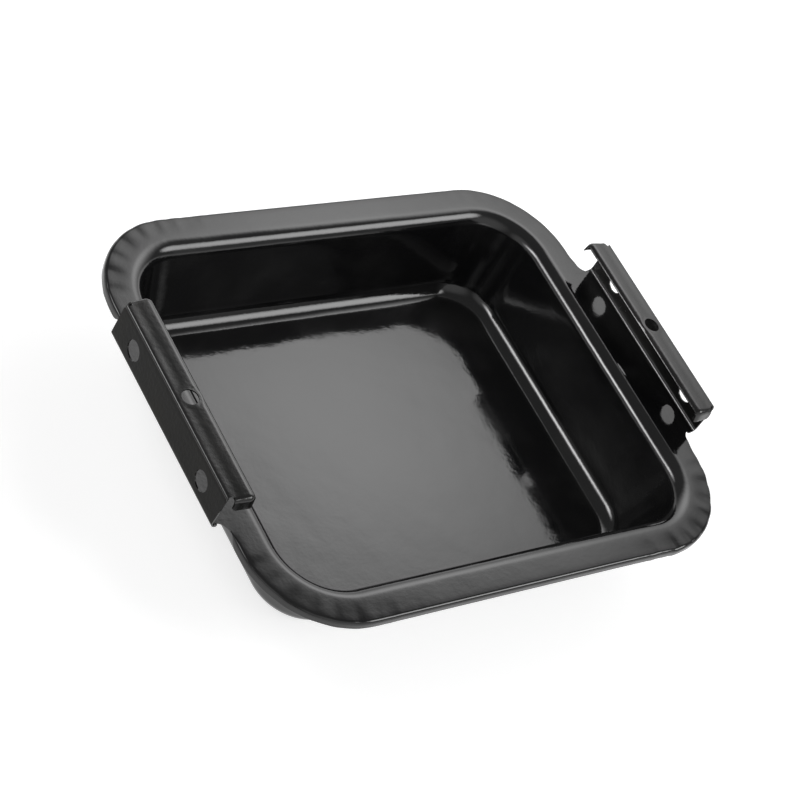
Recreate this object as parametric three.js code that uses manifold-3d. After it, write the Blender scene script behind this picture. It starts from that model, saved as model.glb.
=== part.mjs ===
// Enamelled steel drain pan: a deep-drawn rectangular pan with a flat rim,
// and two pressed hangers that stand on ears at its short ends.
// Millimetres, +Z up. X runs from hanger to hanger, and the origin is the
// middle of the pan's underside, on the surface that the pan stands on.
import * as THREE from "three";
import { mergeVertices } from "three/addons/utils/BufferGeometryUtils.js";
import Module from "manifold-3d";

// Sheet
const SHEET = 0.8; // steel with its enamel on both faces
const LAP_GAP = 0.1; // weld line between an ear and the hanger's foot under it

// Pan
const PAN_LENGTH = 300; // along X, over the turned-down edge
const PAN_WIDTH = 251; // along Y, over the turned-down edge
const PAN_CORNER_R = 52.4; // outer corner, in plan
const EDGE_R = 2; // outside bend of the turned-down edge
const EDGE_DROP = 4.5; // height of the turned-down edge, from the rim's top
const RIM_WIDTH = 13.6; // outer edge to the start of the mouth's round
const MOUTH_R = 9; // round from the rim into the wall, on the enamelled inside
const DRAFT_DEG = 11.6; // lean of the walls
const PAN_DEPTH = 51.8; // rim's top to floor's top
const FLOOR_R = 10.7; // round from the wall into the floor, on the inside
const CORNER_FULLNESS = 6; // how much rounder than concentric the corners are at the floor

// Ears: tongues of the rim that carry the hangers
const EAR_SETBACK = 1.2; // each end of an ear, from the end of the hanger's wall
const EAR_ROOT_R = 6; // hollow corner between an ear and the pan's edge
const EAR_OVERLAP = 4; // how far the ear's solid reaches back into the rim
const EDGE_CLEARANCE = 0.3; // ear's outer edge to the start of the hanger's bend

// Hangers
const HANGER_REACH = 9.2; // pan's edge to the outer face of the hanger's wall
const HANGER_LENGTH = 116; // wall and top plate, along Y
const HANGER_HEIGHT = 20.3; // rim's top to the centre of the top bend
const FOOT_SETBACK = 3.6; // each end of the foot, from the end of the wall
const FOOT_WIDTH = 12; // lap of the foot under the rim, from the pan's edge
const FOOT_BEND_R = 2; // centre line of the bend from foot to wall
const TOP_BEND_R = 1.2; // centre line of the bend from wall to top plate
const PLATE_RISE_DEG = 4; // the top plate climbs towards the pan
const PLATE_FLAT = 10.8; // run of the top plate before its edge rolls down
const PLATE_ROLL_R = 4; // centre line of the rolled inner edge
const PLATE_ROLL_DEG = 40;
const LIP_INSET = 3.7; // wall's outer face to the outer side of an end lip
const LIP_BEND_R = 1.9; // centre line of the bend from plate to lip
const LIP_DROP = 5; // straight part of a lip
const LIP_FLARE_DEG = 8; // a lip leans outwards by this much
const WALL_HOLE_D = 11;
const WALL_HOLE_PITCH = 78; // between the two holes, along Y
const WALL_HOLE_HEIGHT = 10; // rim's top to the holes' centres
const PLATE_HOLE_D = 9;
const PLATE_HOLE_INSET = 8.2; // wall's outer face to the hole's centre

// Fineness of the round stretches
const CORNER_STEPS = 12;
const ROUND_STEPS = 5;
const HOLE_SIDES = 24;
const PAST = 1; // how far a cutting tool runs past what it cuts

const RIM_Z = SHEET + PAN_DEPTH;
const EDGE_X = PAN_LENGTH / 2;
const WALL_X = EDGE_X + HANGER_REACH;
const WALL_MID_X = WALL_X - SHEET / 2;
const UNDER_EAR_Z = RIM_Z - SHEET;
const EAR_HALF = HANGER_LENGTH / 2 - EAR_SETBACK;
const EAR_X = WALL_MID_X - FOOT_BEND_R - EDGE_CLEARANCE;
const ROOT_R = Math.min(EAR_ROOT_R, EAR_X - EDGE_X - EDGE_CLEARANCE);

const wasm = await Module();
wasm.setup();

function toSolid(geometry) {
  const bare = geometry.clone();
  bare.deleteAttribute("normal");
  bare.deleteAttribute("uv");
  const merged = mergeVertices(bare, 1e-4);
  return new wasm.Manifold(
    new wasm.Mesh({
      numProp: 3,
      vertProperties: merged.attributes.position.array,
      triVerts: new Uint32Array(merged.index.array),
    }),
  );
}

function toGeometry(solid) {
  const mesh = solid.getMesh();
  const geometry = new THREE.BufferGeometry();
  geometry.setAttribute("position", new THREE.BufferAttribute(mesh.vertProperties, 3));
  geometry.setIndex(new THREE.BufferAttribute(mesh.triVerts, 1));
  geometry.computeVertexNormals();
  return geometry;
}

function box(x0, x1, y0, y1, z0, z1) {
  const geometry = new THREE.BoxGeometry(x1 - x0, y1 - y0, z1 - z0);
  geometry.translate((x0 + x1) / 2, (y0 + y1) / 2, (z0 + z1) / 2);
  return toSolid(geometry);
}

// Rings of points, each a closed loop of equal count, skinned one after another
// into a tube whose two ends are capped by flat faces.
function skin(rings) {
  const count = rings[0].length;
  const points = rings.flat();
  const faces = [];
  for (let r = 0; r + 1 < rings.length; r++) {
    for (let i = 0; i < count; i++) {
      const a = r * count + i;
      const b = r * count + ((i + 1) % count);
      faces.push(a, b, b + count, a, b + count, a + count);
    }
  }
  const cap = (ring) => {
    const normal = new THREE.Vector3();
    ring.forEach((p, i) => normal.add(p.clone().cross(ring[(i + 1) % count])));
    const across = ring[1].clone().sub(ring[0]).normalize();
    const up = normal.clone().normalize().cross(across);
    const flat = ring.map((p) => new THREE.Vector2(p.dot(across), p.dot(up)));
    return THREE.ShapeUtils.triangulateShape(flat, []);
  };
  for (const [a, b, c] of cap(rings[0])) faces.push(a, c, b);
  const last = (rings.length - 1) * count;
  for (const [a, b, c] of cap(rings.at(-1))) faces.push(last + a, last + b, last + c);
  const geometry = new THREE.BufferGeometry();
  geometry.setAttribute(
    "position",
    new THREE.Float32BufferAttribute(points.flatMap((p) => [p.x, p.y, p.z]), 3),
  );
  geometry.setIndex(faces);
  return toSolid(geometry);
}

// The pan's outline in plan at one height: drawn in from its edge by an inset,
// with corners that are rounder than concentric ones by a fullness.
function panRing(inset, z, fullness) {
  const r = PAN_CORNER_R - inset + fullness;
  const cx = EDGE_X - inset - r;
  const cy = PAN_WIDTH / 2 - inset - r;
  const ring = [];
  for (const [sx, sy, start] of [[1, 1, 0], [-1, 1, 90], [-1, -1, 180], [1, -1, 270]]) {
    for (let k = 0; k <= CORNER_STEPS; k++) {
      const a = THREE.MathUtils.degToRad(start + (90 * k) / CORNER_STEPS);
      ring.push(new THREE.Vector3(sx * cx + r * Math.cos(a), sy * cy + r * Math.sin(a), z));
    }
  }
  return ring;
}

// One face of the sheet in section, as [inset, height, fullness] from the outer
// edge to the floor. The inside has a drop of 0, the underside a drop of SHEET.
function panSection(drop) {
  const rad = THREE.MathUtils.degToRad;
  const full = 90 - DRAFT_DEG;
  const mouthR = MOUTH_R - drop;
  const floorR = FLOOR_R + drop;
  const tall = PAN_DEPTH - (MOUTH_R + FLOOR_R) * (1 - Math.cos(rad(full)));
  const floorStart =
    RIM_WIDTH + (MOUTH_R + FLOOR_R) * Math.sin(rad(full)) + tall * Math.tan(rad(DRAFT_DEG));
  const points = [[drop, RIM_Z - EDGE_DROP, 0]];
  for (let k = 0; k <= ROUND_STEPS; k++) {
    const a = rad((90 * k) / ROUND_STEPS);
    const r = EDGE_R - drop;
    points.push([EDGE_R - r * Math.cos(a), RIM_Z - EDGE_R + r * Math.sin(a), 0]);
  }
  for (let k = 0; k <= ROUND_STEPS; k++) {
    const a = rad((full * k) / ROUND_STEPS);
    const z = RIM_Z - MOUTH_R + mouthR * Math.cos(a);
    points.push([RIM_WIDTH + mouthR * Math.sin(a), z, 0]);
  }
  for (let k = ROUND_STEPS; k >= 0; k--) {
    const a = rad((full * k) / ROUND_STEPS);
    const z = SHEET + FLOOR_R - floorR * Math.cos(a);
    points.push([floorStart - floorR * Math.sin(a), z, CORNER_FULLNESS]);
  }
  return points;
}

// Up the underside from the floor to the edge, then back down the inside.
function panBowl() {
  const underside = panSection(SHEET).reverse();
  const inside = panSection(0);
  return skin([...underside, ...inside].map((point) => panRing(...point)));
}

// A flat tongue of the rim with hollow root corners, on the +X side.
function earPlate() {
  const inner = EDGE_X - EAR_OVERLAP;
  const shape = new THREE.Shape();
  const rootX = EDGE_X + ROOT_R;
  const rootY = EAR_HALF + ROOT_R;
  shape.moveTo(inner, -rootY);
  shape.absarc(rootX, -rootY, ROOT_R, Math.PI, Math.PI / 2, true);
  shape.lineTo(EAR_X, -EAR_HALF);
  shape.lineTo(EAR_X, EAR_HALF);
  shape.absarc(rootX, rootY, ROOT_R, -Math.PI / 2, -Math.PI, true);
  shape.lineTo(inner, rootY);
  const geometry = new THREE.ExtrudeGeometry(shape, {
    depth: SHEET,
    bevelEnabled: false,
    curveSegments: ROUND_STEPS,
  });
  geometry.translate(0, 0, UNDER_EAR_Z);
  return toSolid(geometry);
}

// What the turned-down edge loses where an ear runs out of it.
function edgeGap() {
  const half = EAR_HALF + ROOT_R;
  return box(EDGE_X - EDGE_R, EDGE_X + PAST, -half, half, RIM_Z - EDGE_DROP - PAST, UNDER_EAR_Z);
}

// The same solid across the plane through the origin, square to an axis.
function mirror(solid, axis) {
  const mesh = solid.getMesh();
  const flipped = mesh.vertProperties.slice();
  for (let i = axis; i < flipped.length; i += 3) flipped[i] *= -1;
  const turned = mesh.triVerts.slice();
  for (let i = 0; i < turned.length; i += 3) turned.subarray(i, i + 3).reverse();
  return new wasm.Manifold(
    new wasm.Mesh({ numProp: 3, vertProperties: flipped, triVerts: turned }),
  );
}

function makePan() {
  const ear = earPlate();
  const gap = edgeGap();
  return panBowl().subtract(gap).subtract(mirror(gap, 0)).add(ear).add(mirror(ear, 0));
}

// A sheet's centre line, folded step by step: each step is a straight run,
// or a bend of a radius through an angle, to the left where it is positive.
function fold(start, headingDeg, steps) {
  const points = [start.clone()];
  const at = start.clone();
  let heading = THREE.MathUtils.degToRad(headingDeg);
  const forward = (length) => {
    at.add(new THREE.Vector2(Math.cos(heading), Math.sin(heading)).multiplyScalar(length));
    points.push(at.clone());
  };
  for (const { run = 0, r = 0, deg = 0 } of steps) {
    if (run) forward(run);
    const turn = THREE.MathUtils.degToRad(deg) / ROUND_STEPS;
    for (let k = 0; deg && k < ROUND_STEPS; k++) {
      heading += turn / 2;
      forward(2 * r * Math.sin(Math.abs(turn) / 2));
      heading += turn / 2;
    }
  }
  return points;
}

// The closed outline of a sheet around its centre line.
function thicken(line) {
  const sides = [[], []];
  line.forEach((p, i) => {
    const before = p.clone().sub(line[i - 1] ?? p).normalize();
    const after = (line[i + 1] ?? p).clone().sub(p).normalize();
    const along = before.clone().add(after).normalize();
    const mitre = Math.max(along.dot(before), along.dot(after));
    const normal = new THREE.Vector2(-along.y, along.x).multiplyScalar(SHEET / 2 / mitre);
    sides[0].push(p.clone().sub(normal));
    sides[1].unshift(p.clone().add(normal));
  });
  return [...sides[0], ...sides[1]];
}

// The hanger in section, X across and Z up: foot, wall and top plate.
const FOOT_Z = UNDER_EAR_Z - LAP_GAP - SHEET / 2;
const FOOT_START = new THREE.Vector2(EDGE_X - FOOT_WIDTH, FOOT_Z);
const TOP_BEND_DEG = 90 - PLATE_RISE_DEG;
const PLATE_STEPS = [
  { run: PLATE_FLAT },
  { r: PLATE_ROLL_R, deg: PLATE_ROLL_DEG + PLATE_RISE_DEG },
];
const PLATE_START = new THREE.Vector2(
  WALL_MID_X - TOP_BEND_R * (1 - Math.cos(THREE.MathUtils.degToRad(TOP_BEND_DEG))),
  RIM_Z + HANGER_HEIGHT + TOP_BEND_R * Math.sin(THREE.MathUtils.degToRad(TOP_BEND_DEG)),
);

function hangerSection() {
  return fold(FOOT_START, 0, [
    { run: WALL_MID_X - FOOT_BEND_R - FOOT_START.x },
    { r: FOOT_BEND_R, deg: 90 },
    { run: RIM_Z + HANGER_HEIGHT - FOOT_Z - FOOT_BEND_R },
    { r: TOP_BEND_R, deg: TOP_BEND_DEG },
    ...PLATE_STEPS,
  ]);
}

function hangerChannel() {
  const outline = thicken(hangerSection());
  const ends = [HANGER_LENGTH / 2, -HANGER_LENGTH / 2];
  return skin(ends.map((y) => outline.map((p) => new THREE.Vector3(p.x, y, p.y))));
}

// The end lip on the +Y side: the top plate's own section, carried over a bend.
function hangerLip() {
  const plate = fold(PLATE_START, 180 - PLATE_RISE_DEG, PLATE_STEPS);
  plate[0].lerp(plate[1], (LIP_INSET - (WALL_X - PLATE_START.x)) / PLATE_FLAT);
  const outline = thicken(plate);
  const path = fold(new THREE.Vector2(HANGER_LENGTH / 2 - PAST, 0), 0, [
    { run: PAST },
    { r: LIP_BEND_R, deg: LIP_FLARE_DEG - 90 },
    { run: LIP_DROP },
  ]);
  const rings = path.map((at, i) => {
    const along = (path[i + 1] ?? at).clone().sub(path[i - 1] ?? at).normalize();
    return outline.map((p) => {
      const lift = p.y - PLATE_START.y;
      return new THREE.Vector3(
        p.x,
        at.x - along.y * lift,
        PLATE_START.y + at.y + along.x * lift,
      );
    });
  });
  return skin(rings.reverse());
}

function drill(diameter, length, place) {
  const geometry = new THREE.CylinderGeometry(diameter / 2, diameter / 2, length, HOLE_SIDES);
  place(geometry);
  return toSolid(geometry);
}

// What the foot loses at one end, so that it stops short of the wall's end.
function footEnd() {
  const start = HANGER_LENGTH / 2 - FOOT_SETBACK;
  const end = HANGER_LENGTH / 2 + PAST;
  const bend = WALL_MID_X - FOOT_BEND_R;
  return box(FOOT_START.x - PAST, bend, start, end, FOOT_Z - SHEET, FOOT_Z + SHEET);
}

function wallHole(y) {
  return drill(WALL_HOLE_D, 2 * (PAST + SHEET), (hole) => {
    hole.rotateZ(Math.PI / 2);
    hole.translate(WALL_MID_X, y, RIM_Z + WALL_HOLE_HEIGHT);
  });
}

function plateHole() {
  return drill(PLATE_HOLE_D, 2 * (PAST + SHEET), (hole) => {
    hole.rotateX(Math.PI / 2);
    hole.translate(WALL_X - PLATE_HOLE_INSET, 0, PLATE_START.y + SHEET / 2);
  });
}

function makeHanger() {
  const lip = hangerLip();
  const cut = footEnd();
  return hangerChannel()
    .subtract(cut)
    .subtract(mirror(cut, 1))
    .add(lip)
    .add(mirror(lip, 1))
    .subtract(wallHole(WALL_HOLE_PITCH / 2))
    .subtract(wallHole(-WALL_HOLE_PITCH / 2))
    .subtract(plateHole());
}

const enamel = (name, color, roughness) =>
  new THREE.MeshStandardMaterial({ name, color, roughness, metalness: 0 });

function part(name, solid, material) {
  const mesh = new THREE.Mesh(toGeometry(solid), material);
  mesh.name = name;
  return mesh;
}

const drainPan = new THREE.Group();
const hanger = makeHanger();
const panEnamel = enamel("pan_enamel", 0x0b0b0c, 0.08);
const hangerEnamel = enamel("hanger_enamel", 0x141412, 0.3);
drainPan.add(part("pan", makePan(), panEnamel));
drainPan.add(part("right_hanger", hanger, hangerEnamel));
drainPan.add(part("left_hanger", mirror(hanger, 0), hangerEnamel));

export default drainPan;
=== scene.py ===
# %% [markdown]
# # An enamelled drain pan
# The pan is one sheet of steel, drawn into a bowl with a flat rim, and enamelled black.
# Two small hangers, folded from the same sheet, stand on ears at its short ends.
# The fixed frame comes first: it holds every place and size that the looks have to keep.

import math

import bpy
from mathutils import Matrix, Vector
from mathutils.geometry import delaunay_2d_cdt


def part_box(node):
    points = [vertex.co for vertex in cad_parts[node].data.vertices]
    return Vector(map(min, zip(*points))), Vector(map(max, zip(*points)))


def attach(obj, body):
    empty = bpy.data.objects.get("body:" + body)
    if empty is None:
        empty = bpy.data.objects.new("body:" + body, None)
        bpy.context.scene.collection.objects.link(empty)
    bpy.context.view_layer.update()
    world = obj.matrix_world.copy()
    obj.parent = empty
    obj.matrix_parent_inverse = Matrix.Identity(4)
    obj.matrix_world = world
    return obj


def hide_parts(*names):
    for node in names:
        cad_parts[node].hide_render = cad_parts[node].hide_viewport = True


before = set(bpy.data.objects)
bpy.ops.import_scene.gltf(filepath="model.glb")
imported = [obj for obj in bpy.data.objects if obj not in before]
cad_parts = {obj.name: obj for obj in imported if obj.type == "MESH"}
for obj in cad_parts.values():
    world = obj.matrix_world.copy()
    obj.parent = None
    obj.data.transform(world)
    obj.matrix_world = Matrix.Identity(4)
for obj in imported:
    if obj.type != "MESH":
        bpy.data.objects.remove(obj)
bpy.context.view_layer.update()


def plain(bounds):
    return [[round(float(value), 6) for value in corner] for corner in bounds]


pan_low, pan_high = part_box("pan")
hanger_low, hanger_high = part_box("right_hanger")
print("pan", plain((pan_low, pan_high)), "hanger", plain((hanger_low, hanger_high)))

# %% [markdown]
# ## Sizes
# The outer places are read from the frame, so the looks follow it.
# The bends and rounds are the ones that the press tools give, in millimetres.

# %% Sizes
MM = 0.001
SHEET = 0.8 * MM
RIM_TOP = pan_high.z
HALF_LENGTH = 150 * MM
HALF_WIDTH = pan_high.y
CORNER = 52.4 * MM
RIM_WIDTH = 13.6 * MM
MOUTH_ROUND = 9 * MM
STEEPNESS = math.radians(90 - 11.6)
DEPTH = RIM_TOP - SHEET
FLOOR_ROUND = 10.7 * MM
EAR_END_X = pan_high.x
WALL_HALF = 58 * MM
EAR_HALF = WALL_HALF - 1.2 * MM
ROOT_ROUND = 6 * MM
print("pan depth", round(DEPTH / MM, 1), "mm, rim", round(2 * HALF_WIDTH / MM, 1), "mm wide")

# %% [markdown]
# ## A way to write formulas as nodes
# Both the shapes and the finishes below are rules, and a rule is easiest to read as a formula.
# This small class turns plus, minus, times and sine into the matching Math nodes.


# %% Formula
class Formula:
    def __init__(self, tree, socket):
        self.tree = tree
        self.socket = socket

    def node(self, operation, *others):
        made = self.tree.nodes.new("ShaderNodeMath")
        made.operation = operation
        for slot, value in zip(made.inputs, (self, *others)):
            if isinstance(value, Formula):
                self.tree.links.new(value.socket, slot)
            else:
                slot.default_value = value
        return Formula(self.tree, made.outputs[0])

    def __add__(self, other):
        return self.node("ADD", other)

    def __sub__(self, other):
        return self.node("SUBTRACT", other)

    def __mul__(self, other):
        return self.node("MULTIPLY", other)

    def __truediv__(self, other):
        return self.node("DIVIDE", other)

    def sin(self):
        return self.node("SINE")

    def cos(self):
        return self.node("COSINE")

    def size(self):
        return self.node("ABSOLUTE")

    def rest(self):
        """What is left of 1."""
        return self * -1.0 + 1.0

    def at_most(self, other):
        return self.node("MINIMUM", other)

    def at_least(self, other):
        return self.node("MAXIMUM", other)

    def between(self, low, high):
        return self.at_least(low).at_most(high)

    def eased(self, low, high):
        """A soft step from 0 at low to 1 at high."""
        part = ((self - low) / (high - low)).between(0.0, 1.0)
        return part * part * (part * -2.0 + 3.0)

    def towards(self, other, share):
        return self + (other - self) * share


def formulas(tree, vector):
    """The three parts of a vector socket."""
    split = tree.nodes.new("ShaderNodeSeparateXYZ")
    tree.links.new(vector, split.inputs[0])
    return [Formula(tree, part) for part in split.outputs]


def joined(x, y, z):
    """A vector socket from three formulas."""
    made = x.tree.nodes.new("ShaderNodeCombineXYZ")
    for slot, value in zip(made.inputs, (x, y, z)):
        x.tree.links.new(value.socket, slot)
    return made.outputs[0]


print("a formula knows", ", ".join(name for name in vars(Formula) if name[0] != "_"))

# %% [markdown]
# ## A press
# A sheet-metal piece starts as a flat blank, and a press gives it its shape.
# Modelling it by hand, with a bevel on every fold, would leave an uneven mesh that glossy enamel
# shows at once. So the pieces are made as the real ones are: each point of a flat mesh carries
# numbers that say where it lies on the blank, and a Geometry Nodes tree works out its place.
# The sizes are named inputs of the tree, and the mesh stays even and smooth.


# %% A press with named sizes
def new_press(name, sizes_in):
    """An empty tree with a blank, named sizes and a material as its inputs."""
    tree = bpy.data.node_groups.new(name, "GeometryNodeTree")
    tree.interface.new_socket("Sheet", in_out="OUTPUT", socket_type="NodeSocketGeometry")
    tree.interface.new_socket("Blank", in_out="INPUT", socket_type="NodeSocketGeometry")
    for size in sizes_in:
        tree.interface.new_socket(size, in_out="INPUT", socket_type="NodeSocketFloat")
    tree.interface.new_socket("Enamel", in_out="INPUT", socket_type="NodeSocketMaterial")
    given = tree.nodes.new("NodeGroupInput")
    return tree, given, {size: Formula(tree, given.outputs[size]) for size in sizes_in}


def read(tree, name, kind="FLOAT"):
    """A number, or a vector's three numbers, that each point of the blank carries."""
    node = tree.nodes.new("GeometryNodeInputNamedAttribute")
    node.data_type = kind
    node.inputs["Name"].default_value = name
    if kind == "FLOAT":
        return Formula(tree, node.outputs["Attribute"])
    return formulas(tree, node.outputs["Attribute"])


def finish_press(tree, given, place):
    """Moves each point to its place, and gives the sheet its enamel."""
    move = tree.nodes.new("GeometryNodeSetPosition")
    real = tree.nodes.new("GeometryNodeRealizeInstances")
    paint = tree.nodes.new("GeometryNodeSetMaterial")
    out = tree.nodes.new("NodeGroupOutput")
    tree.links.new(given.outputs["Blank"], move.inputs["Geometry"])
    tree.links.new(place, move.inputs["Position"])
    tree.links.new(move.outputs["Geometry"], real.inputs["Geometry"])
    tree.links.new(real.outputs["Geometry"], paint.inputs["Geometry"])
    tree.links.new(given.outputs["Enamel"], paint.inputs["Material"])
    tree.links.new(paint.outputs["Geometry"], out.inputs["Sheet"])
    print(tree.name, len(tree.nodes), "nodes")


# %% Straights and rounds
def straight(run, start, length):
    """How much of a straight the run has covered, from 0 to its length."""
    return (run - start).between(0.0, length)


def turned(run, start, radius, whole_turn):
    """The angle that the run has gone round a bend, from 0 to the whole turn."""
    return ((run - start) / radius).between(0.0, whole_turn)


QUARTER_TURN = math.pi / 2
print("a quarter turn of the mouth's round is", round(MOUTH_ROUND * QUARTER_TURN / MM, 1), "mm")

# %% [markdown]
# ## From blank to sheet
# The blank is a mesh without thickness. After the press, a Solidify modifier gives it the gauge of
# the sheet, and the evaluated object is turned into a plain mesh, so that no modifier is left.

# %% Blank and sheet
CARRIED = "run fill side turn edge out curl bend drop ripple".split()
SHARP_FOLD = math.radians(40)


def blank_mesh(name, points, faces, numbers):
    """A flat mesh whose points carry the numbers that a press reads."""
    mesh = bpy.data.meshes.new(name)
    mesh.from_pydata(points, [], faces)
    for key, values in numbers.items():
        vector = isinstance(values[0], tuple)
        kind = "FLOAT_VECTOR" if vector else "FLOAT"
        layer = mesh.attributes.new(key, kind, "POINT")
        flat = [part for value in values for part in value] if vector else values
        layer.data.foreach_set("vector" if vector else "value", flat)
    return mesh


def pressed(name, blank, tree, values, enamel, centred):
    """The blank after the press, as a plain mesh with the sheet's thickness."""
    piece = bpy.data.objects.new(name + "_blank", blank)
    bpy.context.scene.collection.objects.link(piece)
    press = piece.modifiers.new("press", "NODES")
    press.node_group = tree
    for socket in tree.interface.items_tree:
        if socket.in_out == "INPUT" and socket.name in values:
            press[socket.identifier] = values[socket.name]
        if socket.name == "Enamel":
            press[socket.identifier] = enamel
    gauge = piece.modifiers.new("gauge", "SOLIDIFY")
    gauge.thickness = SHEET
    gauge.offset = 0 if centred else -1
    gauge.use_quality_normals = True
    ready = piece.evaluated_get(bpy.context.evaluated_depsgraph_get())
    mesh = bpy.data.meshes.new_from_object(ready)
    bpy.data.objects.remove(piece)
    for layer in [each.name for each in mesh.attributes if each.name in CARRIED]:
        mesh.attributes.remove(mesh.attributes[layer])
    mesh.shade_smooth()
    mesh.set_sharp_from_angle(angle=SHARP_FOLD)
    mesh.name = name
    print(name, len(mesh.vertices), "points", len(mesh.polygons), "faces")
    return mesh


def placed(name, mesh, node):
    """A finished piece that stands for a node of the frame."""
    piece = bpy.data.objects.new(name, mesh)
    bpy.context.scene.collection.objects.link(piece)
    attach(piece, "root")
    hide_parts(node)


print("each point can carry", ", ".join(CARRIED))

# %% [markdown]
# ## Enamel
# Vitreous enamel is glass fused on the steel. It has nearly no colour of its own, and a mirror on
# top. What sells it is that the mirror isn't perfect: the sheet under it is slightly wavy, the
# glass has a faint orange peel, and dust and wiping marks dull it here and there.
# Noise on Object coordinates gives all three, because a pressed piece has no useful UV map.


# %% Enamel
def cloud(tree, scale, detail):
    """Soft noise over the piece, about 0.5."""
    where = tree.nodes.new("ShaderNodeTexCoord").outputs["Object"]
    node = tree.nodes.new("ShaderNodeTexNoise")
    node.inputs["Scale"].default_value = scale
    node.inputs["Detail"].default_value = detail
    tree.links.new(where, node.inputs["Vector"])
    return Formula(tree, node.outputs["Fac"])


def enamel(name, colours, gloss, peel, wave, dust, shine=0.5):
    """A fired glass coat: colours and gloss are (calm, worn), wave is (wide, narrow)."""
    material = bpy.data.materials.new(name)
    material.use_nodes = True
    tree = material.node_tree
    shader = tree.nodes["Principled BSDF"]
    patches = cloud(tree, 22.0, 4.0).eased(0.42, 0.66)
    specks = cloud(tree, 900.0, 1.0).eased(0.70, 0.78) * dust
    blend = tree.nodes.new("ShaderNodeMix")
    blend.data_type = "RGBA"
    tree.links.new((patches * 0.7 + specks).between(0.0, 1.0).socket, blend.inputs["Factor"])
    blend.inputs["A"].default_value = (*colours[0], 1)
    blend.inputs["B"].default_value = (*colours[1], 1)
    tree.links.new(blend.outputs["Result"], shader.inputs["Base Color"])
    rough = patches * (gloss[1] - gloss[0]) + gloss[0] + specks * 0.15
    tree.links.new(rough.socket, shader.inputs["Roughness"])
    shader.inputs["IOR"].default_value = 1.52
    shader.inputs["Specular IOR Level"].default_value = shine
    shader.inputs["Metallic"].default_value = 0.0
    waves = cloud(tree, 9.0, 1.0) * wave[0] + cloud(tree, 34.0, 2.0) * wave[1]
    orange_peel = cloud(tree, 420.0, 2.0) * peel + cloud(tree, 1500.0, 1.0) * (peel * 0.25)
    bump = tree.nodes.new("ShaderNodeBump")
    bump.inputs["Strength"].default_value = 1.0
    bump.inputs["Distance"].default_value = 1.0
    tree.links.new((waves + orange_peel).socket, bump.inputs["Height"])
    tree.links.new(bump.outputs["Normal"], shader.inputs["Normal"])
    print(name, "gloss", gloss, "shine", shine)
    return material


# %% [markdown]
# ## Three coats
# The pan has the thick black glass of a cooker. The hangers have a thinner coat, which is a little
# greyer and duller. The outer face of a hanger's wall only has the matt ground coat, so it mirrors
# nearly nothing. Waves and peel are heights in metres, because the bump's distance is 1.

# %% Three coats
pan_enamel = enamel(
    "black_glass_enamel",
    colours=((0.0045, 0.0045, 0.0048), (0.011, 0.011, 0.011)),
    gloss=(0.06, 0.11),
    peel=0.03 * MM,
    wave=(1.0 * MM, 0.22 * MM),
    dust=0.25,
)
hanger_enamel = enamel(
    "thin_grey_enamel",
    colours=((0.005, 0.005, 0.0048), (0.010, 0.0095, 0.009)),
    gloss=(0.14, 0.22),
    peel=0.07 * MM,
    wave=(0.6 * MM, 0.4 * MM),
    dust=0.5,
)
outer_enamel = enamel(
    "matt_ground_coat",
    colours=((0.005, 0.0048, 0.0042), (0.011, 0.010, 0.008)),
    gloss=(0.30, 0.42),
    peel=0.09 * MM,
    wave=(0.3 * MM, 0.3 * MM),
    dust=0.5,
    shine=0.08,
)

# %% [markdown]
# ## The pan's outline
# Seen from above, the pan is a rectangle with large round corners, and an ear on each short side.
# A curve object could hold that outline, but its points couldn't carry what the press needs.
# So the outline is walked once, anticlockwise, as a list of stops. Each stop notes which corner
# of the bowl it belongs to (side), which way the bowl's round faces there (turn), where the edge
# lies (edge), which way it faces (out), how far it is turned down (curl), and how much the metal
# ripples. The turned-down edge fades out towards an ear, because the ear has to lie flat.

# %% Stops along the short side
STRAIGHT_Y = HALF_WIDTH - CORNER
STRAIGHT_X = HALF_LENGTH - CORNER
ROOT_X = HALF_LENGTH + ROOT_ROUND
ROOT_Y = EAR_HALF + ROOT_ROUND
FADE = 8 * MM
EAR_STEPS = 16
ROOT_STEPS = 12
SIDE_STEPS = 9
CRISP_CORNER = 0.05 * MM


def smooth(value):
    """A soft step from 0 to 1."""
    value = min(max(value, 0.0), 1.0)
    return value * value * (3 - 2 * value)


def stop(side, turn, edge, out, curl, ripple=0.0):
    return {"side": side, "turn": turn, "edge": edge, "out": out, "curl": curl, "ripple": ripple}


def short_side():
    """From the middle of the right-hand side to the start of its corner."""
    stops = []

    def add(x, y, facing, curl):
        side = (1.0, y / STRAIGHT_Y, 0)
        stops.append(stop(side, (1.0, 0, 0), (x, y, 0), facing, curl))

    for k in range(EAR_STEPS):
        add(EAR_END_X, EAR_HALF * k / EAR_STEPS, (1.0, 0, 0), 0.0)
    add(EAR_END_X, EAR_HALF - CRISP_CORNER, (1.0, 0, 0), 0.0)
    for k in range(ROOT_STEPS + 1):
        angle = math.radians(270 - 90 * k / ROOT_STEPS)
        x = ROOT_X + ROOT_ROUND * math.cos(angle)
        y = ROOT_Y + ROOT_ROUND * math.sin(angle)
        add(x, y, (-math.cos(angle), -math.sin(angle), 0), 0.0)
    for k in range(1, SIDE_STEPS):
        y = ROOT_Y + (STRAIGHT_Y - ROOT_Y) * k / SIDE_STEPS
        add(HALF_LENGTH, y, (1.0, 0, 0), smooth((y - ROOT_Y) / FADE))
    return stops


print("a short side has", len(short_side()), "stops in each half")

# %% [markdown]
# ## Crowded metal
# When a flat sheet is drawn into a bowl, its corners have more metal than room, so the rim ripples
# there. Two sines of different pace make creases that never quite repeat, without any randomness.
# Each corner ripples to its own degree, as on a real press that isn't quite level.

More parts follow.
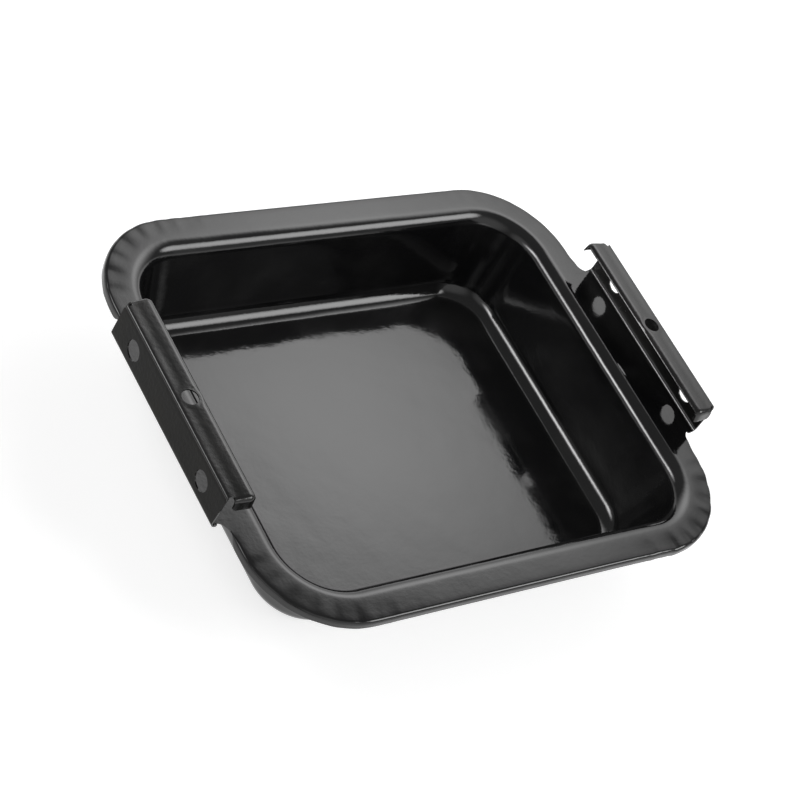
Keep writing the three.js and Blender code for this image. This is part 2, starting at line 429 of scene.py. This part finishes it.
# %% Stops along the corner and the long side
CORNER_STEPS = 44
LONG_STEPS = 32
LONG_STEP_PACE = 2.6
RIPPLED_STEPS = 15
RIPPLE_BY_CORNER = [0.25, 1.0, 0.55, 1.7]


def crowding(k, quarter):
    """How far the crowded metal stands in ripples at a stop, 0 to 1."""
    creases = (0.5 + 0.5 * math.sin(k * 0.93 + quarter * 1.7)) ** 2
    swell = 0.5 + 0.5 * math.sin(k * 0.41 + quarter * 2.9)
    return 0.6 * creases + 0.4 * swell


def corner(quarter):
    stops = []
    for k in range(CORNER_STEPS + 1):
        angle = math.radians(90 * k / CORNER_STEPS)
        turn = (math.cos(angle), math.sin(angle), 0)
        x = STRAIGHT_X + CORNER * turn[0]
        y = STRAIGHT_Y + CORNER * turn[1]
        ripple = RIPPLE_BY_CORNER[quarter] * smooth(k / 6) * crowding(k, quarter)
        stops.append(stop((1.0, 1.0, 0), turn, (x, y, 0), turn, smooth((y - ROOT_Y) / FADE), ripple))
    return stops


def long_side(quarter):
    """From the end of the corner to the middle of the back side."""
    stops = []
    for k in range(1, LONG_STEPS + 1):
        x = STRAIGHT_X * (1 - k / LONG_STEPS)
        fading = smooth(1 - k / RIPPLED_STEPS)
        crowded = crowding(CORNER_STEPS + LONG_STEP_PACE * k, quarter)
        ripple = RIPPLE_BY_CORNER[quarter] * crowded * fading
        side = (x / STRAIGHT_X, 1.0, 0)
        stops.append(stop(side, (0, 1.0, 0), (x, HALF_WIDTH, 0), (0, 1.0, 0), 1.0, ripple))
    return stops


print("a corner has", len(corner(0)), "stops, half a long side", len(long_side(0)))

# %% [markdown]
# ## Walk round the pan
# The four quarters are mirror images apart from their ripples, so one quarter is written and
# flipped. A stretch that is flipped once runs the wrong way round, so it is also reversed.


# %% Walk the outline
def mirrored(stops, across_x, across_y):
    """The same stretch in another quarter, in the order of an anticlockwise walk."""
    flip = (-1 if across_x else 1, -1 if across_y else 1, 1)

    def flipped(value):
        if isinstance(value, tuple):
            return tuple(part * sign for part, sign in zip(value, flip))
        return value

    made = [{key: flipped(value) for key, value in each.items()} for each in stops]
    return made[::-1] if across_x != across_y else made


def same_place(one, other):
    return (Vector(one["edge"]) - Vector(other["edge"])).length < 0.0001 * MM


outline = []
for quarter, (across_x, across_y) in enumerate([(0, 0), (1, 0), (1, 1), (0, 1)]):
    stretch = short_side() + corner(quarter) + long_side(quarter)
    stretch = mirrored(stretch, across_x, across_y)
    doubled = outline and same_place(outline[-1], stretch[0])
    outline += stretch[1:] if doubled else stretch
if same_place(outline[-1], outline[0]):
    outline.pop()
print("outline", len(outline), "stops")

# %% [markdown]
# ## The pan's press
# Across the sheet, the section is a chain of straights and rounds: turned-down edge, rim, the
# round of the mouth, the sloping wall, the round of the floor, and the floor itself.
# Clamped lengths make such a chain short to write: each stretch uses up its own part of the run.

# %% The pan's section
PAN_SIZES = {
    "Half length": HALF_LENGTH,
    "Half width": HALF_WIDTH,
    "Corner": CORNER,
    "Fullness": 6 * MM,
    "Rim top": RIM_TOP,
    "Rim width": RIM_WIDTH,
    "Mouth round": MOUTH_ROUND,
    "Steepness": STEEPNESS,
    "Depth": DEPTH,
    "Floor round": FLOOR_ROUND,
    "Edge bend": 2 * MM,
    "Edge straight": 2.5 * MM,
    "Crown": 0.12 * MM,
    "Ripple": 0.55 * MM,
}
pan_press, pan_given, of_pan = new_press("pan_press", PAN_SIZES)
run = read(pan_press, "run")
steep = of_pan["Steepness"]
mouth_round = of_pan["Mouth round"]
floor_round = of_pan["Floor round"]
wall_length = (of_pan["Depth"] - (mouth_round + floor_round) * steep.cos().rest()) / steep.sin()
mouth_start = of_pan["Rim width"]
wall_start = mouth_start + mouth_round * steep
floor_start = wall_start + wall_length
mouth_turn = turned(run, mouth_start, mouth_round, steep)
down_wall = straight(run, wall_start, wall_length)
floor_turn = steep - turned(run, floor_start, floor_round, steep)
inset = (
    run.between(0.0, mouth_start)
    + mouth_round * mouth_turn.sin()
    + down_wall * steep.cos()
    + floor_round * (steep.sin() - floor_turn.sin())
)
sunk = (
    mouth_round * mouth_turn.cos().rest()
    + down_wall * steep.sin()
    + floor_round * (floor_turn.cos() - steep.cos())
)
print("the section takes", len(pan_press.nodes), "nodes")

# %% [markdown]
# ## The rim
# The rim is crowned by a hair, and rippled where its points say so. Both fade out towards the
# mouth, which the press holds firmly. The rows of the edge are marked by a run below 0. There the
# sheet bends down, except at an ear, where the same rows lie flat within half a sheet of the edge.

# %% The pan's rim and edge
EDGE_RUN = -1.0
RAW_TUCK = SHEET / 2
outwards = (mouth_start - run).between(0.0, mouth_start) / mouth_start
crowned = of_pan["Crown"] * outwards * outwards
rippled = of_pan["Ripple"] * read(pan_press, "ripple") * outwards.eased(0.05, 0.8)
curl = read(pan_press, "curl")
bend = read(pan_press, "bend")
bend_angle = bend * QUARTER_TURN
raw_tuck = bend * -RAW_TUCK + RAW_TUCK
tucked = raw_tuck.towards(of_pan["Edge bend"] * bend_angle.sin().rest(), curl)
turned_down = of_pan["Edge bend"] * bend_angle.cos().rest()
lowered = (turned_down + of_pan["Edge straight"] * read(pan_press, "drop")) * curl
on_edge = run.node("LESS_THAN", EDGE_RUN / 2)
print("with the rim it takes", len(pan_press.nodes), "nodes")

# %% [markdown]
# ## The pan's corners
# From above, every level of the bowl is a rounded rectangle. Its corners stay about the same
# centre, so their radius shrinks by the inset, but the punch leaves them fuller towards the floor.
# The fill draws the last rows in to the middle, where a cap closes the floor.

# %% The pan's places
bowl_radius = of_pan["Corner"] - inset + of_pan["Fullness"] * (down_wall / wall_length)
from_middle = read(pan_press, "fill").rest()
side = read(pan_press, "side", "FLOAT_VECTOR")
turn = read(pan_press, "turn", "FLOAT_VECTOR")
edge = read(pan_press, "edge", "FLOAT_VECTOR")
out = read(pan_press, "out", "FLOAT_VECTOR")
flat = []
for axis, half in enumerate((of_pan["Half length"], of_pan["Half width"])):
    in_bowl = (side[axis] * (half - inset - bowl_radius) + bowl_radius * turn[axis]) * from_middle
    flat.append(in_bowl.towards(edge[axis] - out[axis] * tucked, on_edge))
height = of_pan["Rim top"] - sunk - crowned - rippled - lowered * on_edge
finish_press(pan_press, pan_given, joined(flat[0], flat[1], height))

# %% [markdown]
# ## Draw the pan
# The blank is a closed band of even quads from the edge to the floor, and a cap in the middle.
# The rows lie close together where the sheet turns, and far apart where it is straight.


# %% The blank's rows
def steps(start, end, count):
    """Even steps from start, without the end itself."""
    return [start + (end - start) * k / count for k in range(count)]


def section_rows():
    """(run, fill, bend, drop) for each row, from the turned-down edge inwards."""
    rounds = (MOUTH_ROUND + FLOOR_ROUND) * (1 - math.cos(STEEPNESS))
    mouth_end = RIM_WIDTH + MOUTH_ROUND * STEEPNESS
    floor_from = mouth_end + (DEPTH - rounds) / math.sin(STEEPNESS)
    floor_end = floor_from + FLOOR_ROUND * STEEPNESS
    rows = [(EDGE_RUN, 0.0, 1.0, drop) for drop in (1.0, 0.66, 0.33)]
    rows += [(EDGE_RUN, 0.0, bent, 0.0) for bent in steps(1.0, 0.0, 9)]
    rows.append((EDGE_RUN, 0.0, 0.0, 0.0))
    runs = steps(4 * MM, RIM_WIDTH, 8) + steps(RIM_WIDTH, mouth_end, 18)
    runs += steps(mouth_end, floor_from, 8) + steps(floor_from, floor_end, 18)
    rows += [(each, 0.0, 0.0, 0.0) for each in runs]
    rows += [(floor_end, fill, 0.0, 0.0) for fill in steps(0.0, 0.98, 14)]
    return rows


print("the blank has", len(section_rows()), "rows")


# %% Draw the pan
def pan_blank():
    rows = section_rows()
    numbers = {key: [] for key in CARRIED}
    for row in rows:
        for each in outline:
            for key, value in each.items():
                numbers[key].append(value)
            for key, value in zip(("run", "fill", "bend", "drop"), row):
                numbers[key].append(value)
    count = len(outline)
    faces = []
    for r in range(len(rows) - 1):
        for i in range(count):
            j = (i + 1) % count
            faces.append((r * count + i, r * count + j, (r + 1) * count + j, (r + 1) * count + i))
    faces.append(tuple((len(rows) - 1) * count + i for i in range(count)))
    return blank_mesh("pan_blank", [(0, 0, 0)] * (len(rows) * count), faces, numbers)


pan_mesh = pressed("enamelled_pan", pan_blank(), pan_press, PAN_SIZES, pan_enamel, False)
placed("enamelled_pan", pan_mesh, "pan")

# %% [markdown]
# ## The hangers' press
# A hanger is a folded strip: a foot under the ear, an upright wall, and a top plate that leans
# over the rim and rolls down along its inner edge. At both ends a lip of the plate turns down.
# So its press folds twice: along the strip's section first, and then over the ends.

# %% The hangers' sizes
GAP = 0.1 * MM
FOOT_Z = RIM_TOP - SHEET - GAP - SHEET / 2
FOOT_X = HALF_LENGTH - 12 * MM
WALL_X = hanger_high.x - SHEET / 2
FOOT_BEND = 3.2 * MM
TOP_BEND = 1.2 * MM
RISE = math.radians(4)
PLATE = 10.3 * MM
ROLL = 4.6 * MM
ROLL_TURN = math.radians(48)
LIP_BEND = 1.9 * MM
LIP_TURN = math.radians(82)
HOLE_ALONG = 6.7 * MM
HANGER_SIZES = {
    "Foot start": FOOT_X,
    "Foot height": FOOT_Z,
    "Foot": WALL_X - FOOT_BEND - FOOT_X,
    "Foot bend": FOOT_BEND,
    "Wall": RIM_TOP + 20.3 * MM - FOOT_Z - FOOT_BEND,
    "Top bend": TOP_BEND,
    "Rise": RISE,
    "Plate": PLATE,
    "Roll": ROLL,
    "Roll turn": ROLL_TURN,
    "Half wall": WALL_HALF,
    "Lip bend": LIP_BEND,
    "Lip turn": LIP_TURN,
    "Hole along": HOLE_ALONG,
    "Dish": 0.125 * MM,
    "Pad rise": 0.55 * MM,
    "Side": 1.0,
}
hanger_press, hanger_given, of_hanger = new_press("hanger_press", HANGER_SIZES)
print("the wall rises", round(HANGER_SIZES["Wall"] / MM, 1), "mm between its bends")

# %% The hangers' section
across, along, _ = read(hanger_press, "edge", "FLOAT_VECTOR")
rise = of_hanger["Rise"]
foot_turn = turned(across, of_hanger["Foot"], of_hanger["Foot bend"], QUARTER_TURN)
wall_from = of_hanger["Foot"] + of_hanger["Foot bend"] * QUARTER_TURN
up_wall = straight(across, wall_from, of_hanger["Wall"])
top_from = wall_from + of_hanger["Wall"]
top_angle = rise * -1.0 + QUARTER_TURN
top_turn = turned(across, top_from, of_hanger["Top bend"], top_angle)
plate_from = top_from + of_hanger["Top bend"] * top_angle
over_plate = straight(across, plate_from, of_hanger["Plate"])
roll_from = plate_from + of_hanger["Plate"]
leaning = turned(across, roll_from, of_hanger["Roll"], of_hanger["Roll turn"]) - rise
x = (
    of_hanger["Foot start"]
    + across.at_most(of_hanger["Foot"])
    + of_hanger["Foot bend"] * foot_turn.sin()
    - of_hanger["Top bend"] * top_turn.cos().rest()
    - over_plate * rise.cos()
    - of_hanger["Roll"] * (leaning.sin() + rise.sin())
)
top_of_wall = (
    of_hanger["Foot height"]
    + of_hanger["Foot bend"] * foot_turn.cos().rest()
    + up_wall
    + of_hanger["Top bend"] * top_turn.sin()
)
lift = over_plate * rise.sin() + of_hanger["Roll"] * (leaning.cos() - rise.cos())
print("the fold takes", len(hanger_press.nodes), "nodes")

# %% [markdown]
# ## Dish and pad
# The plate isn't quite flat. It is dished a little along its middle, which bends the light that
# runs along it. Round its hole it is pressed up flat, as a seat for a screw head would be.
# Both are small changes of height, so they are blended in over the fold.

# %% The plate's dish and pad
PAD_FLAT = 5.6 * MM
PAD_END = 7.5 * MM
along_plate = over_plate / of_hanger["Plate"]
dish = along_plate.eased(0.05, 0.4) - along_plate.eased(0.45, 0.8)
lift = lift - of_hanger["Dish"] * dish
beside_hole = across - plate_from - of_hanger["Hole along"]
from_hole = (beside_hole * beside_hole + along * along).node("SQRT")
pad = from_hole.eased(PAD_END, PAD_FLAT)
beyond = (across - plate_from).at_least(0.0)
plate_x = (
    of_hanger["Foot start"]
    + of_hanger["Foot"]
    + of_hanger["Foot bend"]
    - of_hanger["Top bend"] * top_angle.cos().rest()
)
x = x.towards(plate_x - beyond * rise.cos(), pad)
lift = lift.towards((beyond * rise.sin()).at_most(of_hanger["Pad rise"]), pad)
print("with dish and pad it takes", len(hanger_press.nodes), "nodes")

# %% [markdown]
# ## Lips
# Past the ends of the wall the plate turns down over a round. The lift of the plate turns with it,
# so a lip keeps the plate's section. Side is 1 or -1: the left hanger is the right one, turned
# half round, so it needs no mirroring and its faces keep pointing outwards.

# %% The hangers' lips
off_middle = along.size()
half_wall = of_hanger["Half wall"]
lip_bend = of_hanger["Lip bend"]
lip_whole = of_hanger["Lip turn"]
past_end = (off_middle - half_wall).at_least(0.0)
lip_turn = (past_end / lip_bend).between(0.0, lip_whole)
down_lip = (past_end - lip_bend * lip_whole).at_least(0.0)
y = off_middle.at_most(half_wall) + lip_bend * lip_turn.sin() + down_lip * lip_whole.cos()
y = (y + lip_turn.sin() * lift) * along.node("SIGN")
z = top_of_wall - lip_bend * lip_turn.cos().rest() - down_lip * lip_whole.sin()
z = z + lip_turn.cos() * lift
way_round = of_hanger["Side"]
finish_press(hanger_press, hanger_given, joined(x * way_round, y * way_round, z))

# %% [markdown]
# ## The hangers' blank
# A blank with holes can't be one even grid. Its outline and holes are drawn as loops of points,
# a grid of points is laid over it, dense where the sheet bends, and a Delaunay triangulation
# joins them all. It keeps every line of the outline, so the holes stay round, which a boolean cut
# through a coarse mesh wouldn't give. On the blank, u runs over the section and v along the strip.

# %% Where the folds lie on the blank
foot_at = HANGER_SIZES["Foot"]
wall_at = foot_at + FOOT_BEND * QUARTER_TURN
top_at = wall_at + HANGER_SIZES["Wall"]
plate_at = top_at + TOP_BEND * (QUARTER_TURN - RISE)
roll_at = plate_at + PLATE
inner_at = roll_at + ROLL * ROLL_TURN
FOOT_HALF = WALL_HALF - 3.6 * MM
LIP_SIDE = plate_at + 2.2 * MM
LIP_END = WALL_HALF + LIP_BEND * LIP_TURN + 4.6 * MM
HOLE_U = wall_at + RIM_TOP + 10 * MM - FOOT_Z - FOOT_BEND
HOLE_V = 39 * MM
HOLES = [
    (HOLE_U, -HOLE_V, 5.5 * MM),
    (HOLE_U, HOLE_V, 5.5 * MM),
    (plate_at + HOLE_ALONG, 0.0, 4.5 * MM),
]
print("the blank is", round(inner_at / MM, 1), "mm over its section")

# %% The blank's outline
NOTCH = 1.3 * MM
SOFT_CORNER = 2 * MM
FOOT_CORNER = 1 * MM
WALL_STEPS = 12
LIP_STEP = 0.6 * MM
HOLE_STOPS = 56


def arc(centre, radius, start, end, count):
    """Points on an arc, with angles in degrees."""
    made = []
    for k in range(count + 1):
        angle = math.radians(start + (end - start) * k / count)
        made.append((centre[0] + radius * math.cos(angle), centre[1] + radius * math.sin(angle)))
    return made


def half_outline():
    """From the foot's end round to the inner edge, on the +V half of the blank."""
    points = [(0.0, FOOT_HALF), (foot_at - FOOT_CORNER, FOOT_HALF)]
    points += arc((foot_at, WALL_HALF - FOOT_CORNER), FOOT_CORNER, 180, 90, 6)
    for k in range(1, WALL_STEPS):
        points.append((foot_at + (top_at - foot_at) * k / WALL_STEPS, WALL_HALF))
    points.append((top_at - 1 * MM, WALL_HALF))
    points += arc((LIP_SIDE - NOTCH, WALL_HALF + 0.2 * MM), NOTCH, 200, 360, 12)
    points += [(LIP_SIDE, WALL_HALF + 1.5 * MM), (LIP_SIDE, WALL_HALF + 3 * MM)]
    points += arc((LIP_SIDE + SOFT_CORNER, LIP_END - SOFT_CORNER), SOFT_CORNER, 180, 90, 8)
    points += arc((inner_at - SOFT_CORNER, LIP_END - SOFT_CORNER), SOFT_CORNER, 90, 0, 8)
    points += [(inner_at, LIP_END - SOFT_CORNER - LIP_STEP * k) for k in range(1, 8)]
    return points


half_loop = half_outline()
loops = [half_loop + [(u, -v) for u, v in reversed(half_loop)]]
loops += [arc((u, v), radius, 360, 0, HOLE_STOPS)[:-1] for u, v, radius in HOLES]
print("loops of", [len(loop) for loop in loops], "points")

# %% [markdown]
# ## The grid on the blank
# Straight stretches need few points. A bend needs a line every few tenths of a millimetre, or its
# highlight breaks up. A grid point too near a hole or the outline would make a thin triangle,
# so it is left out. Only the ends of the strip have an outline that the grid could come near.

# %% The blank's grid
FINE = 0.4 * MM
HOLE_MARGIN = 0.4 * MM
EDGE_MARGIN = 0.25 * MM
END_ZONE = 50 * MM


def spaced(start, end, gap):
    count = max(1, round((end - start) / gap))
    return [start + (end - start) * k / count for k in range(count + 1)]


def grid_lines():
    lines = spaced(1 * MM, foot_at, 3 * MM)[:-1] + spaced(foot_at, wall_at, FINE)[:-1]
    lines += spaced(wall_at, top_at, 2.2 * MM)[:-1] + spaced(top_at, plate_at, 0.3 * MM)[:-1]
    lines += spaced(plate_at, roll_at, 0.9 * MM)[:-1] + spaced(roll_at, inner_at, FINE)[:-1]
    rows = spaced(0, WALL_HALF - 0.8 * MM, 1.3 * MM) + spaced(WALL_HALF, WALL_HALF + 3 * MM, FINE)
    rows += spaced(WALL_HALF + 3.4 * MM, LIP_END - FINE, 1 * MM)
    return lines, [-row for row in reversed(rows[1:])] + rows


def has_room(u, v):
    """Whether a grid point keeps clear of the holes and the outline."""
    if any(math.hypot(u - hole_u, v - hole_v) <= radius + HOLE_MARGIN for hole_u, hole_v, radius in HOLES):
        return False
    if abs(v) <= END_ZONE:
        return True
    return min(math.hypot(u - edge_u, v - edge_v) for edge_u, edge_v in loops[0]) > EDGE_MARGIN


lines, rows = grid_lines()
spots = [(u, v) for u in lines for v in rows if has_room(u, v)]
print("grid", len(lines), "x", len(rows), "points,", len(spots), "kept")


# %% Cut the blank
def inside(u, v):
    """Whether a point lies on the metal: in the outline and in no hole."""
    crossings = 0
    for loop in loops:
        for (u0, v0), (u1, v1) in zip(loop, loop[1:] + loop[:1]):
            if (v0 > v) != (v1 > v) and u < u0 + (v - v0) * (u1 - u0) / (v1 - v0):
                crossings += 1
    return crossings % 2 == 1


def hanger_blank():
    bounds = []
    start = 0
    for loop in loops:
        ids = list(range(start, start + len(loop)))
        bounds += list(zip(ids, ids[1:] + ids[:1]))
        start += len(loop)
    points = [Vector(point) / MM for loop in loops for point in loop]
    points += [Vector(spot) / MM for spot in spots]
    made = delaunay_2d_cdt(points, bounds, [], 0, 1e-6)
    corners = [point * MM for point in made[0]]
    faces = []
    for face in made[2]:
        centre = sum((corners[i] for i in face), Vector((0, 0))) / len(face)
        if inside(*centre):
            faces.append(tuple(face))
    numbers = {"edge": [(point.x, point.y, 0.0) for point in corners]}
    return blank_mesh("hanger_blank", [(point.x, point.y, 0) for point in corners], faces, numbers)


# %% [markdown]
# ## Fold the hangers
# Both hangers come from the same blank and the same press. The outer faces of their walls get the
# matt coat: a face has it when it looks straight away from the pan.

# %% Fold the hangers
STRAIGHT_OUT = 0.95
for node, way in (("right_hanger", 1.0), ("left_hanger", -1.0)):
    title = node + "_bracket"
    values = {**HANGER_SIZES, "Side": way}
    mesh = pressed(title, hanger_blank(), hanger_press, values, hanger_enamel, True)
    mesh.materials.append(outer_enamel)
    for face in mesh.polygons:
        face.material_index = 1 if face.normal.x * way > STRAIGHT_OUT else 0
    placed(title, mesh, node)

# %% [markdown]
# ## Floor
# The pan stands on a plain pale floor. The floor glows a little by itself, which keeps it white
# near the pan, where the pan would otherwise throw a hard grey shadow on it.

# %% Floor
bpy.ops.mesh.primitive_plane_add(size=12, location=(0, 0, -0.2 * MM))
floor = bpy.context.object
floor.name = "floor"
paper = bpy.data.materials.new("pale_paper")
paper.use_nodes = True
paper_shader = paper.node_tree.nodes["Principled BSDF"]
paper_shader.inputs["Base Color"].default_value = (0.6, 0.6, 0.6, 1)
paper_shader.inputs["Roughness"].default_value = 0.9
paper_shader.inputs["Emission Color"].default_value = (1, 1, 1, 1)
paper_shader.inputs["Emission Strength"].default_value = 0.70
floor.data.materials.append(paper)
print("floor", paper.name)

# %% [markdown]
# ## Soft boxes
# A glossy black piece is mostly what it reflects, so the lights draw its shape.
# A large soft box stands close behind the pan to the right and fades from its middle outwards.
# It fills the floor of the bowl and the flat rim. The dark band on the bowl's floor mirrors the
# walls. A small bright box behind the pan to the left draws thin lines along the rounds of the
# right side. Area lights do this without being seen by the camera, which a lit plane would be.


# %% Soft boxes
def soft_box(name, place, target, width, height, power, core, spread):
    """A lit rectangle, brightest in its middle, that fades with distance from it over core."""
    lamp = bpy.data.lights.new(name, "AREA")
    lamp.shape = "RECTANGLE"
    lamp.size = width
    lamp.size_y = height
    lamp.energy = power
    lamp.spread = math.radians(spread)
    lamp.use_nodes = True
    glass = lamp.node_tree
    across, up, _ = formulas(glass, glass.nodes.new("ShaderNodeNewGeometry").outputs["Parametric"])
    sideways = (across - 0.5) * (width / core[0])
    upwards = (up - 0.5) * (height / core[1])
    fading = (sideways * sideways + upwards * upwards) * -1.0
    glass.links.new(fading.node("EXPONENT").socket, glass.nodes["Emission"].inputs["Strength"])
    box = bpy.data.objects.new(name, lamp)
    aim = (Vector(target) - Vector(place)).to_track_quat("-Z", "Y").to_matrix().to_4x4()
    box.matrix_world = Matrix.Translation(Vector(place) + Vector((0, 0, RIM_TOP))) @ aim
    box.visible_camera = False
    bpy.context.scene.collection.objects.link(box)
    print(name, power, "W")


soft_box(
    "large_soft_box",
    place=(0.387, 0.320, 0.46),
    target=(0, 0.049, 0.46),
    width=1.0,
    height=1.0,
    power=11.2,
    core=(0.27, 0.26),
    spread=180,
)
soft_box(
    "small_soft_box",
    place=(-0.25, 0.172, 0.19),
    target=(0.129, 0, 0),
    width=0.44,
    height=0.24,
    power=1.15,
    core=(0.15, 0.048),
    spread=90,
)

# %% [markdown]
# ## Room light
# The rest of the room is dim, and paler near the floor, except at the front left where the viewer
# stands. A bright glow high at the front right lights the rounds along the back of the bowl. Two
# wide, weak glows, in front and to the left, keep the edges that face them from going black.
# An image of a studio would do this too, but a few soft spots are easier to place and to read.

# %% Room light
DIM = 0.27
PALE_WALL = 0.7
FRONT_LIGHT = 6.5
FILL = 0.6
world = bpy.data.worlds.new("studio")
bpy.context.scene.world = world
world.use_nodes = True
sky = world.node_tree
direction_seen = sky.nodes.new("ShaderNodeTexCoord").outputs["Generated"]


def facing(direction):
    """How closely the direction seen points the given way, as a cosine."""
    dot = sky.nodes.new("ShaderNodeVectorMath")
    dot.operation = "DOT_PRODUCT"
    sky.links.new(direction_seen, dot.inputs[0])
    dot.inputs[1].default_value = Vector(direction).normalized()
    return Formula(sky, dot.outputs["Value"])


def glow(direction, inner, outer):
    """1 within the inner angle of a direction, fading to 0 at the outer one, in degrees."""
    return facing(direction).eased(math.cos(math.radians(outer)), math.cos(math.radians(inner)))


near_floor = facing((0, 0, 1)).eased(0.26, 0.10) * glow((-0.80, -0.60, 0.1), 30, 60).rest()
front_light = glow((0.60, -0.48, 0.64), 1, 17)
fills = glow((0.0, -0.90, 0.42), 10, 42) + glow((-0.90, -0.20, 0.35), 8, 33)
room = near_floor * PALE_WALL + front_light * FRONT_LIGHT + fills * FILL + DIM
background = sky.nodes["Background"]
sky.links.new(room.socket, background.inputs["Strength"])
background.inputs["Color"].default_value = (1, 1, 1, 1)
print("room light", len(sky.nodes), "nodes")

# %% [markdown]
# ## Camera
# The pan is looked at from the front left and above, with the camera rolled to one side.
# The lens is long, which keeps the sides of the pan close to parallel.

# %% Camera
STAND = Vector((-0.7329, -0.5018, 0.8051 + RIM_TOP))
HEADING = math.radians(55.34)
DIP = math.radians(42.79)
ROLLED = math.radians(34.96)
level_step = math.cos(DIP)
forward = Vector((math.sin(HEADING) * level_step, math.cos(HEADING) * level_step, -math.sin(DIP)))
level = forward.cross(Vector((0, 0, 1))).normalized()
upright = level.cross(forward)
right = level * math.cos(ROLLED) + upright * math.sin(ROLLED)
above = upright * math.cos(ROLLED) - level * math.sin(ROLLED)
eye = bpy.data.cameras.new("camera")
eye.lens = 104.19
eye.sensor_width = 36
eye.clip_end = 50
camera = bpy.data.objects.new("camera", eye)
camera.matrix_world = Matrix.Translation(STAND) @ Matrix((right, above, -forward)).transposed().to_4x4()
bpy.context.scene.collection.objects.link(camera)
bpy.context.scene.camera = camera
bpy.context.scene.view_settings.view_transform = "Standard"
bpy.context.scene.view_settings.look = "None"
print("camera", round(STAND.length, 2), "m from the pan, lens", round(eye.lens, 1), "mm")

# %% [markdown]
# ## Finish
# The last cell brings the scene up to date.

# %% Finish
bpy.context.view_layer.update()
